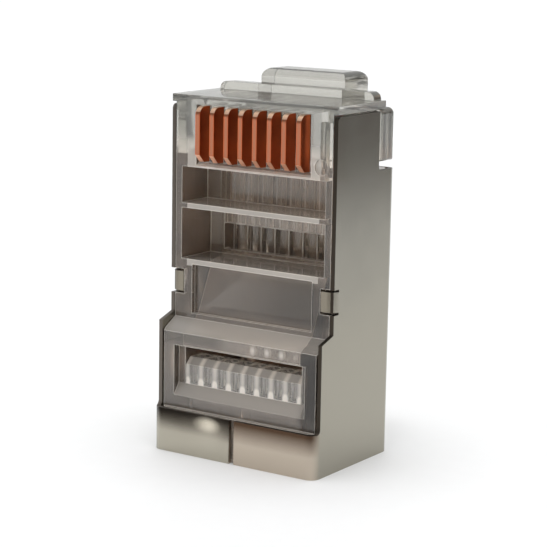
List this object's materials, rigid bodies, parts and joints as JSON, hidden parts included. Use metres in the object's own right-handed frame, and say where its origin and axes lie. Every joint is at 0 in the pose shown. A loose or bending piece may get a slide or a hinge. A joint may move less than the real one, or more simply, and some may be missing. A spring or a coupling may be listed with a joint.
{
  "type": "rj45 modular plug",
  "caption": "Shielded modular plug for twisted-pair network cable, uncrimped: clear housing in a folded nickel-plated shield, blade contacts, loose load bar and springy latch.",
  "frame": {"origin": "middle of the cable end, at the centre of the shield's section, in the plane of the shield's and housing's cable-end edges", "axes": "+Z along the plug from the cable end to the nose, -Y towards the contact side, +Y towards the latch side, X across the row of contacts"},
  "size_m": [0.0116, 0.0139, 0.0229],
  "materials": {
    "clear_plastic": "clear moulded polycarbonate with a faint grey-green tint",
    "nickel_plate": "bright nickel plate on thin folded sheet",
    "plated_contact": "gold over copper alloy, bright"
  },
  "bodies": {
    "plug_body": {"housing": "clear_plastic", "shield": "nickel_plate", "load_bar": "clear_plastic", "contact_1": "plated_contact", "contact_2": "plated_contact", "contact_3": "plated_contact", "contact_4": "plated_contact", "contact_5": "plated_contact", "contact_6": "plated_contact", "contact_7": "plated_contact", "contact_8": "plated_contact"},
    "latch": {"latch_lever": "clear_plastic"}
  },
  "joints": [
    {"name": "latch_flex", "type": "hinge", "parent": "plug_body", "child": "latch", "pos_m": [0, 0.0051, 0.0195], "axis": [-1, 0, 0], "range_deg": [0, 14], "stiffness_Nm_per_rad": 0.03}
  ]
}
